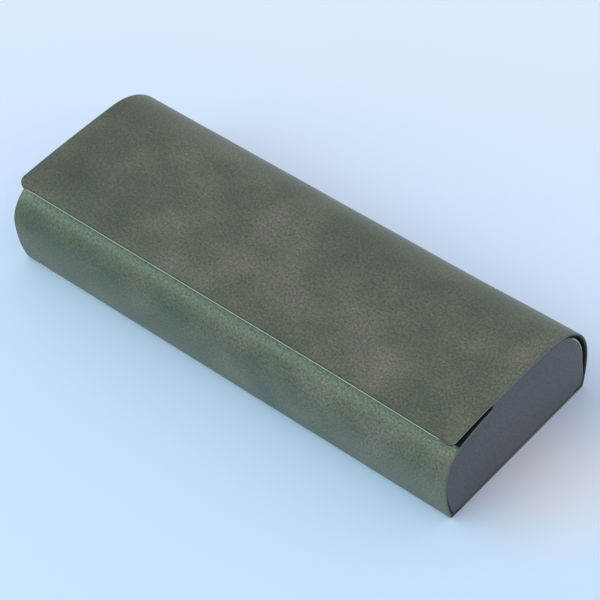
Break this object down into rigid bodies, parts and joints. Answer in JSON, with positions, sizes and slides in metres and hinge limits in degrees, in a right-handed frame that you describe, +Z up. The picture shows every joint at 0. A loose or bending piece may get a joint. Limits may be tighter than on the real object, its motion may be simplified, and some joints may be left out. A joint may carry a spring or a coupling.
{
  "type": "multi glasses organizer case",
  "caption": "Long low flap case for glasses, with a bulged front, D-shaped end panels, a curved flap hinged on the rear fold and a divider inside.",
  "frame": {"origin": "on the table, under the middle of the closed case's box", "axes": "+X along the case to its right end, +Y from the front bulge to the hinged rear fold, +Z up"},
  "size_m": [0.18, 0.0724, 0.0353],
  "materials": {
    "green_cover": "matt grey-green coated leather cloth with a cloudy, faintly brown mottling",
    "grey_end_cover": "matt dark blue-grey coated leather cloth, smooth",
    "stiffener_sheet": "thin black polypropylene sheet, matt",
    "case_board": "dense grey-brown case board",
    "lining_cloth": "short-napped soft lining cloth",
    "magnet_sheet": "flexible magnetic rubber sheet"
  },
  "bodies": {
    "box": {"shell_cover": "green_cover", "front_stiffener": "stiffener_sheet", "base_stiffener": "stiffener_sheet", "shell_lining": "lining_cloth", "front_magnet_left": "magnet_sheet", "front_magnet_right": "magnet_sheet", "left_end_cover": "grey_end_cover", "left_end_board": "case_board", "left_end_lining": "lining_cloth", "left_end_tape": "lining_cloth", "right_end_cover": "grey_end_cover", "right_end_board": "case_board", "right_end_lining": "lining_cloth", "right_end_tape": "lining_cloth", "divider_board": "case_board", "divider_sleeve": "lining_cloth"},
    "flap": {"flap_cover": "green_cover", "flap_stiffener": "stiffener_sheet", "flap_lining": "lining_cloth", "lid_magnet_left": "magnet_sheet", "lid_magnet_right": "magnet_sheet"}
  },
  "joints": [
    {"name": "flap_hinge", "type": "hinge", "parent": "box", "child": "flap", "pos_m": [0, 0.03452, 0.00017], "axis": [-1, 0, 0], "range_deg": [0, 75]}
  ]
}
